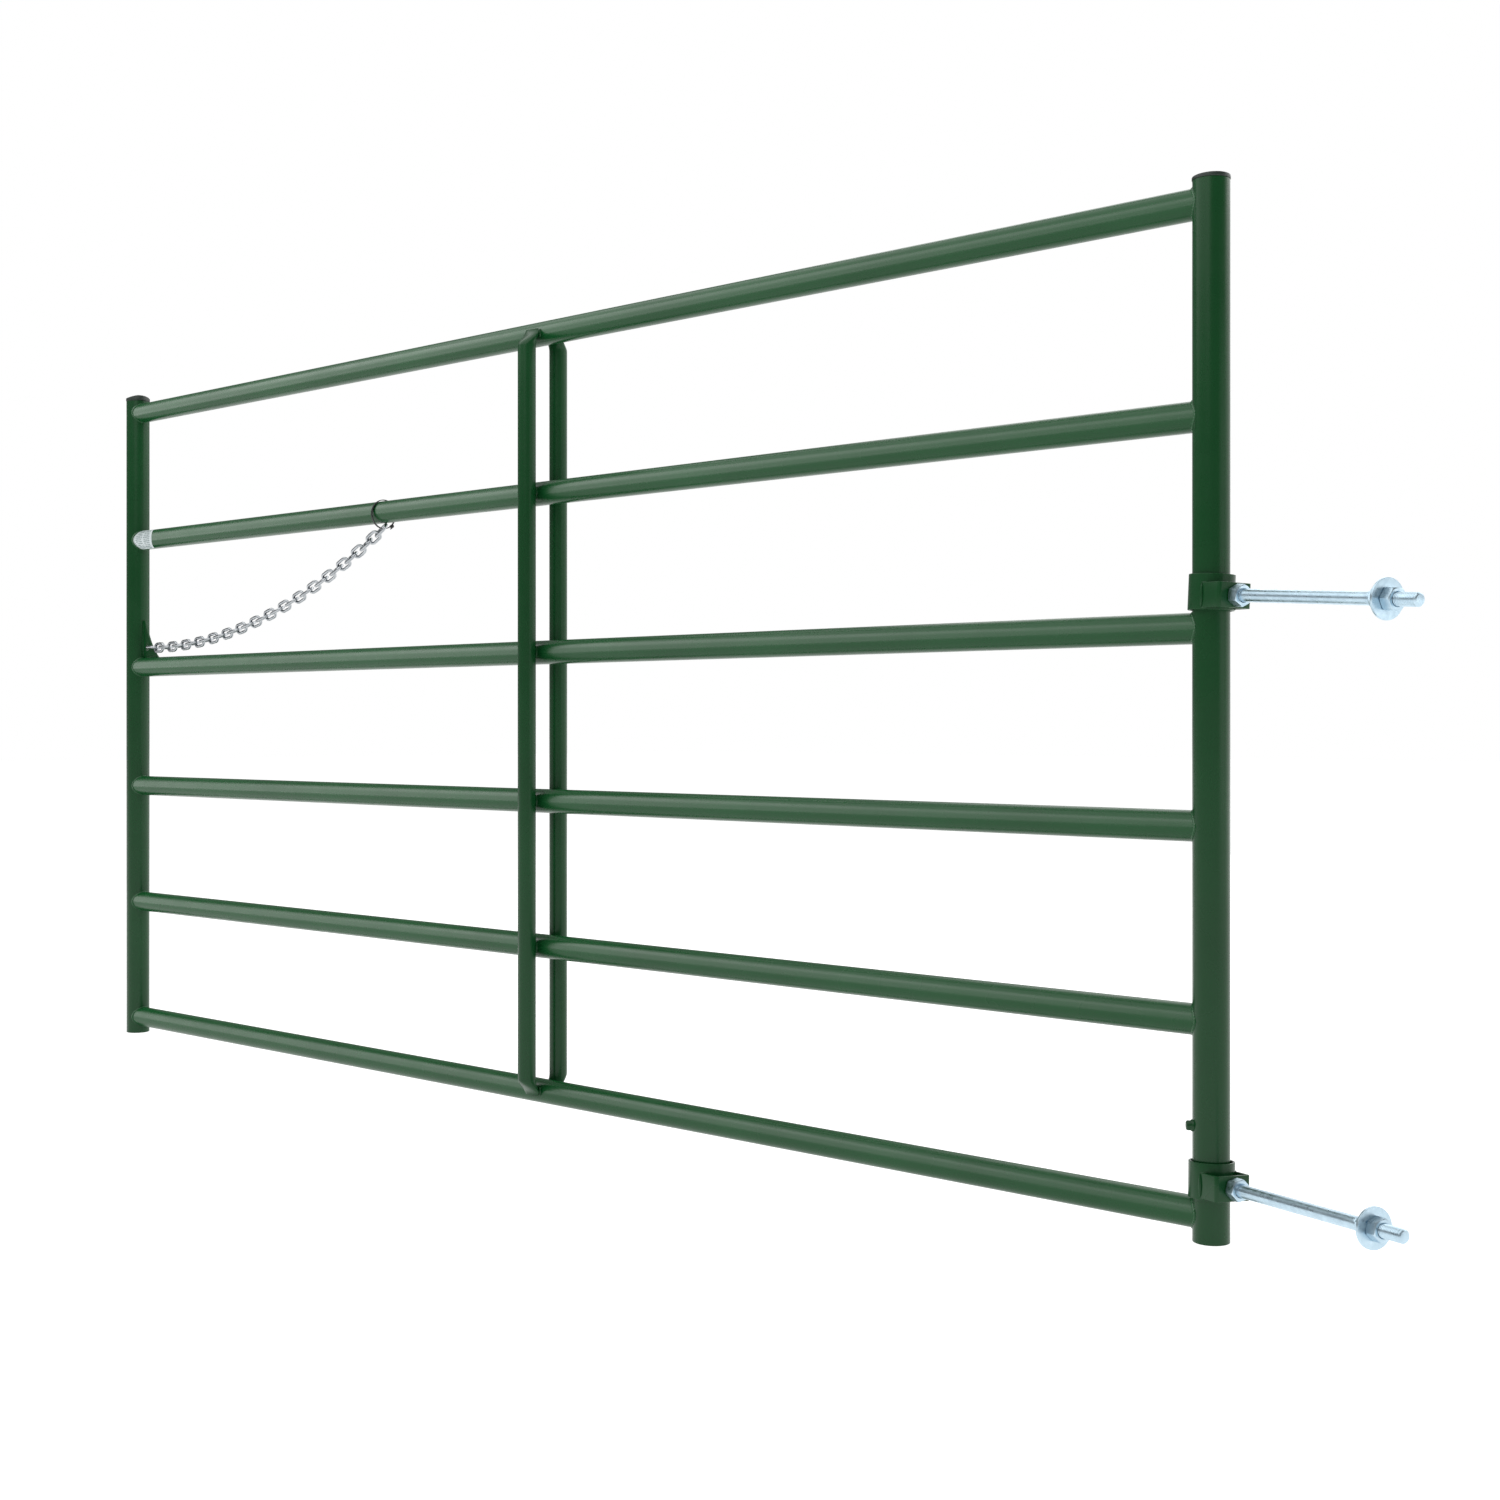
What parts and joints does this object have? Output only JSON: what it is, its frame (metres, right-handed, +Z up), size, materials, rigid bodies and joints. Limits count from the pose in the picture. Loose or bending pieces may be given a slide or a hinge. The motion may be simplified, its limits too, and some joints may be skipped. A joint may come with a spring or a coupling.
{
  "type": "tubular livestock gate",
  "caption": "Welded round-tube field gate with horizontal rails, crimped vertical stays, collar hinges on long bolts that let it swing, and a latch chain hanging from a corner plate",
  "frame": {"origin": "on the hinge axis, which is the hinge upright's centre line, at the lower hinge collar's mid-height", "axes": "+Z up along the hinge axis; +X from the latch upright towards the hinge upright in the plane of the rails; -Y is the front"},
  "size_m": [2.7289, 0.1995, 1.279],
  "materials": {
    "green_powder_coat": "dark green gloss powder coat over steel",
    "zinc_plate": "bright zinc plate, faintly blue",
    "chain_zinc": "bluish zinc plate",
    "cap_plastic": "near-black moulded plastic",
    "tie_nylon": "black nylon",
    "label_film": "white printed film"
  },
  "bodies": {
    "lower_hinge": {"lower_hinge_collar": "green_powder_coat", "lower_hinge_bolt": "zinc_plate", "lower_lock_nut": "zinc_plate", "lower_inner_nut": "zinc_plate", "lower_washer": "zinc_plate", "lower_outer_nut": "zinc_plate"},
    "gate_frame": {"latch_upright": "green_powder_coat", "hinge_upright": "green_powder_coat", "top_rail": "green_powder_coat", "rail_2": "green_powder_coat", "rail_3": "green_powder_coat", "rail_4": "green_powder_coat", "rail_5": "green_powder_coat", "bottom_rail": "green_powder_coat", "front_stay": "green_powder_coat", "rear_stay": "green_powder_coat", "latch_upright_cap": "cap_plastic", "hinge_upright_cap": "cap_plastic", "chain_plate": "green_powder_coat", "lift_stop": "green_powder_coat", "cable_tie": "tie_nylon", "chain_link_01": "chain_zinc", "chain_link_33": "chain_zinc"},
    "upper_hinge": {"upper_hinge_collar": "green_powder_coat", "upper_hinge_bolt": "zinc_plate", "upper_lock_nut": "zinc_plate", "upper_inner_nut": "zinc_plate", "upper_washer": "zinc_plate", "upper_outer_nut": "zinc_plate"},
    "chain": {"chain_link_02": "chain_zinc", "chain_link_03": "chain_zinc", "chain_link_04": "chain_zinc", "chain_link_05": "chain_zinc", "chain_link_06": "chain_zinc", "chain_link_07": "chain_zinc", "chain_link_08": "chain_zinc", "chain_link_09": "chain_zinc", "chain_link_10": "chain_zinc", "chain_link_11": "chain_zinc", "chain_link_12": "chain_zinc", "chain_link_13": "chain_zinc", "chain_link_14": "chain_zinc", "chain_link_15": "chain_zinc", "chain_link_16": "chain_zinc", "chain_link_17": "chain_zinc", "chain_link_18": "chain_zinc", "chain_link_19": "chain_zinc", "chain_link_20": "chain_zinc", "chain_link_21": "chain_zinc", "chain_link_22": "chain_zinc", "chain_link_23": "chain_zinc", "chain_link_24": "chain_zinc", "chain_link_25": "chain_zinc", "chain_link_26": "chain_zinc", "chain_link_27": "chain_zinc", "chain_link_28": "chain_zinc", "chain_link_29": "chain_zinc", "chain_link_30": "chain_zinc", "chain_link_31": "chain_zinc", "chain_link_32": "chain_zinc"}
  },
  "joints": [
    {"name": "gate_swing", "type": "hinge", "parent": "lower_hinge", "child": "gate_frame", "pos_m": [0, 0, 0], "axis": [0, 0, 1], "range_deg": [-145, 94]},
    {"name": "upper_hinge_swing", "type": "hinge", "parent": "gate_frame", "child": "upper_hinge", "pos_m": [0, 0, 0.69932], "axis": [0, 0, 1], "range_deg": [-94, 145]},
    {"name": "chain_sway", "type": "hinge", "parent": "gate_frame", "child": "chain", "pos_m": [-2.327, 0, 0.69508], "axis": [0.9698, 0, 0.2439], "range_deg": [-20, 20]}
  ],
  "couplings": [
    {"joint": "upper_hinge_swing", "follows": "gate_swing", "ratio": -1}
  ]
}
